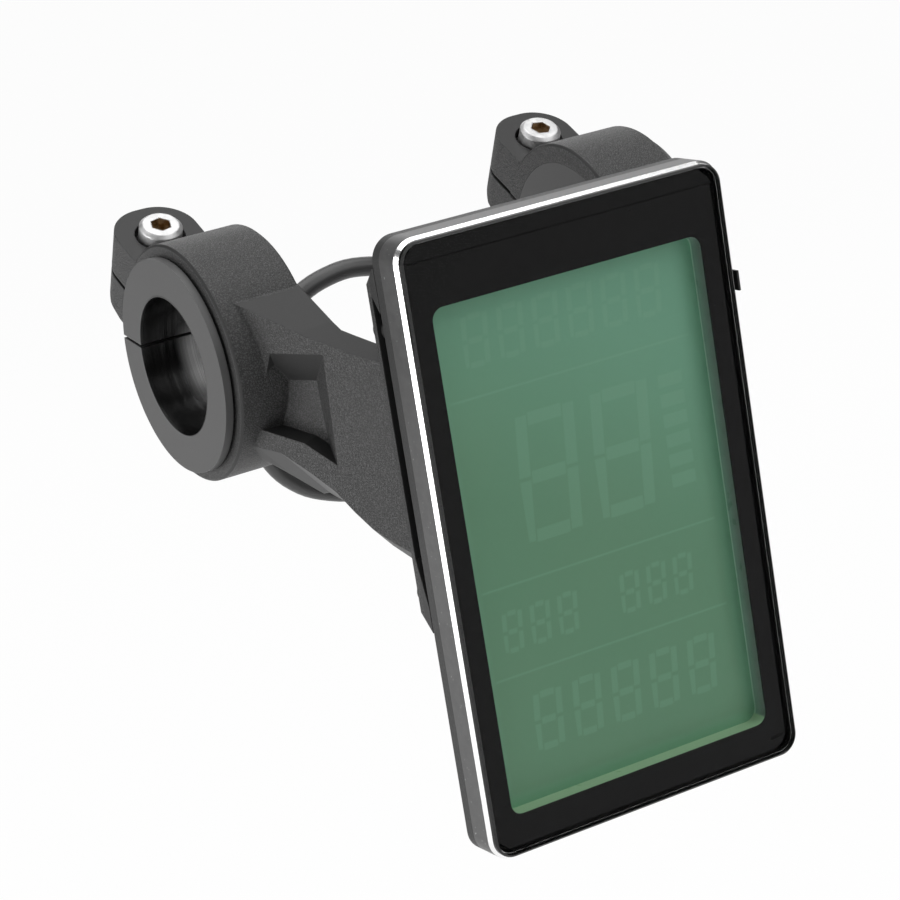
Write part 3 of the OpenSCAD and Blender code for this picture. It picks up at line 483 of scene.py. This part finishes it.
finishes = {
    "bezel_frame": bezel_finish(),
    "front_lens": lens_finish(),
    "window_mask": mask_finish(),
    "lcd_holder": holder_finish(),
    "lcd_glass": screen_finish(),
    "light_guide": light_guide_finish(),
    "contact_strip": satin("contact_rubber", level=120, rough=0.6, tint=(0.04, 0.02, 0)),
    "main_board": board_finish(),
    "board_parts": satin("chip_black", level=44, rough=0.5),
    "buzzer": satin("buzzer_black", level=34, rough=0.45),
    "board_connector": satin("connector_cream", level=222, rough=0.5, tint=(0.02, 0, -0.06)),
    "lead_wires": satin("wire_red", level=70, rough=0.4, tint=(0.35, 0, 0)),
    "cover_seal": satin("seal_rubber", level=60, rough=0.6, tint=(0.1, 0, 0)),
    "cover_screws": satin("screw_dark", level=120, rough=0.35, metal=1.0),
    "arm_screws": satin("screw_black", level=52, rough=0.4, metal=0.8),
    "port_cover": satin("port_rubber", level=24, rough=0.55),
    "cable_gland": satin("gland_rubber", level=32, rough=0.5),
    "cable_tie": satin("tie_nylon", level=44, rough=0.35),
    "cable_plug": satin("plug_moulding", level=38, rough=0.45),
    "plug_pins": satin("pin_gold", level=190, rough=0.25, tint=(0.1, 0, -0.3), metal=1.0),
    "plug_seal": satin("plug_seal_rubber", level=70, rough=0.5, tint=(0.3, 0, 0)),
    "left_clamp_nut": satin("nut_steel", level=190, rough=0.3, metal=1.0),
    "back_cover": cover_finish(),
    "left_arm": arm_finish(),
    "left_bush": bush_finish(),
    "left_clamp_screw": steel_finish(),
}
for name in ("arm", "bush", "clamp_screw", "clamp_nut"):
    finishes["right_" + name] = finishes["left_" + name]
for name, material in finishes.items():
    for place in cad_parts[name].material_slots:
        place.material = material


# The lead: one smooth line from the gland, through the tied coil, to the plug

def coil_line():
    """A spiral that winds inwards against the back, steps up a layer, and winds outwards."""
    turns, pitch, mean_r = 3.5, 3.8, 18.175
    middle_x, middle_z, low_y = 4, -53.4, -32.5
    half_way = turns * 180
    points = []
    for a in range(0, int(turns * 360) + 1, 15):
        r = mean_r - pitch * turns / 4 + pitch * abs(a - half_way) / 360
        layer = min(max((a - half_way + 90) / 180, 0), 1)
        points.append((middle_x + r * cos(radians(a)), low_y + pitch * layer,
                       middle_z - r * sin(radians(a))))
    return points


def lead():
    gland_tip = (13, -22.1, -24)
    run_out = [gland_tip, (13, -15, -24), (13, -6.5, -24), (13.2, 2.5, -23.7), (13.6, 9.8, -21.6),
               (13.8, 14.8, -16.5), (13, 16, -9.5), (10.2, 16.2, -3), (5, 16.2, 1.7),
               (-1.5, 16, 4), (-8, 16, 3.9), (-14.5, 16, 1.6), (-20.5, 16, -2.8),
               (-24.8, 16, -9), (-26, 16, -16), (-24.2, 16, -23), (-20.4, 16, -28),
               (-14, 16, -31.6), (-6.5, 15.2, -33.2), (0.8, 12.6, -33.6), (7.4, 7.6, -33.2),
               (13, 0.8, -32.2), (17.8, -7.6, -31), (21.6, -16.2, -29.8), (24.2, -24.2, -29.5),
               (25.3, -29.7, -32), (25.5, -32.2, -37.2), (25.5, -32.5, -43.5),
               (25.5, -32.5, -50.1)]
    run_in = [(-17.5, -28.7, -50.1), (-17.4, -28.5, -44.4), (-15.9, -27.3, -38.8),
              (-12, -25.5, -34), (-6, -23.9, -31.2), (0.4, -22.8, -31.2), (5.4, -22.3, -34.4),
              (7.4, -22.2, -38.6), (7.6, -22.2, -42.4)]
    points = [Vector(p) * MM for p in run_out + coil_line() + run_in]
    curve = bpy.data.curves.new("lead", "CURVE")
    curve.dimensions = "3D"
    curve.bevel_depth = 1.65 * MM
    curve.bevel_resolution = 6
    curve.use_fill_caps = True
    curve.resolution_u = 5
    line = curve.splines.new("BEZIER")
    line.bezier_points.add(len(points) - 1)
    for spot, point in zip(line.bezier_points, points):
        spot.co = point
        spot.handle_left_type = spot.handle_right_type = "AUTO"
    piece = bpy.data.objects.new("lead", curve)
    scene.collection.objects.link(piece)
    piece.data.materials.append(lead_finish())
    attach(piece, "display")
    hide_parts("cable_lead", "cable_coil", "cable_tail")


lead()


# Studio: a white surround, a pale floor and soft lamps

def surround():
    """White to the camera and through the glass, and dim as a light."""
    dim = 0.14
    world = bpy.data.worlds.new("surround")
    scene.world = world
    world.use_nodes = True
    sky = Nodes(world.node_tree)
    seen = sky.add("LightPath", {}, out="Is Camera Ray")
    through = sky.add("LightPath", {}, out="Is Transmission Ray")
    paint = world.node_tree.nodes["Background"]
    sky.feed(paint.inputs["Color"], (1.0, 1.0, 1.0))
    sky.feed(paint.inputs["Strength"], seen.most(through) * (1 - dim) + dim)


def pale_floor():
    """Glows almost white to the camera and in reflections, and keeps a faint shadow."""
    seen_glow, mirrored_glow, height = 0.97, 0.9, -0.24
    bpy.ops.mesh.primitive_plane_add(size=6, location=(0, 0, height))
    floor = bpy.context.object
    floor.name = "floor"
    bpy.ops.object.transform_apply(location=True)
    shade = bpy.data.materials.new("floor_white")
    shade.use_nodes = True
    card = Nodes(shade.node_tree)
    card.tree.nodes.remove(card.tree.nodes["Principled BSDF"])
    mirrored = card.add("LightPath", {}, out="Is Glossy Ray") * mirrored_glow
    seen = card.add("LightPath", {}, out="Is Camera Ray") * seen_glow
    matt = card.add("BsdfDiffuse", {}, (0.85, 0.85, 0.85))
    glow = card.add("Emission", {}, (1.0, 1.0, 1.0))
    card.feed(card.tree.nodes["Material Output"].inputs["Surface"],
              card.add("MixShader", {}, mirrored.most(seen), matt, glow))
    floor.data.materials.append(shade)


def lamp(name, at, wide, tall, watts):
    """A soft lamp that is aimed at the middle of the display; its place and size are in m."""
    aim = Vector((0, -0.02, -0.02))
    data = bpy.data.lights.new(name, "AREA")
    data.shape = "RECTANGLE"
    data.size, data.size_y, data.energy = wide, tall, watts
    piece = bpy.data.objects.new(name, data)
    piece.location = at
    piece.rotation_euler = (aim - Vector(at)).to_track_quat("-Z", "Y").to_euler()
    scene.collection.objects.link(piece)


scene.view_settings.view_transform = "Standard"
surround()
pale_floor()
lamp("overhead", (0.05, 0.05, 0.8), wide=1.1, tall=0.9, watts=7.0)
lamp("left_side", (-0.75, 0.07, -0.02), wide=0.45, tall=0.75, watts=4.2)
lamp("front_right", (0.36, -0.74, 0.52), wide=0.7, tall=0.7, watts=3.0)
lamp("backdrop", (0.5, 0.95, 0.35), wide=0.8, tall=0.5, watts=1.6)
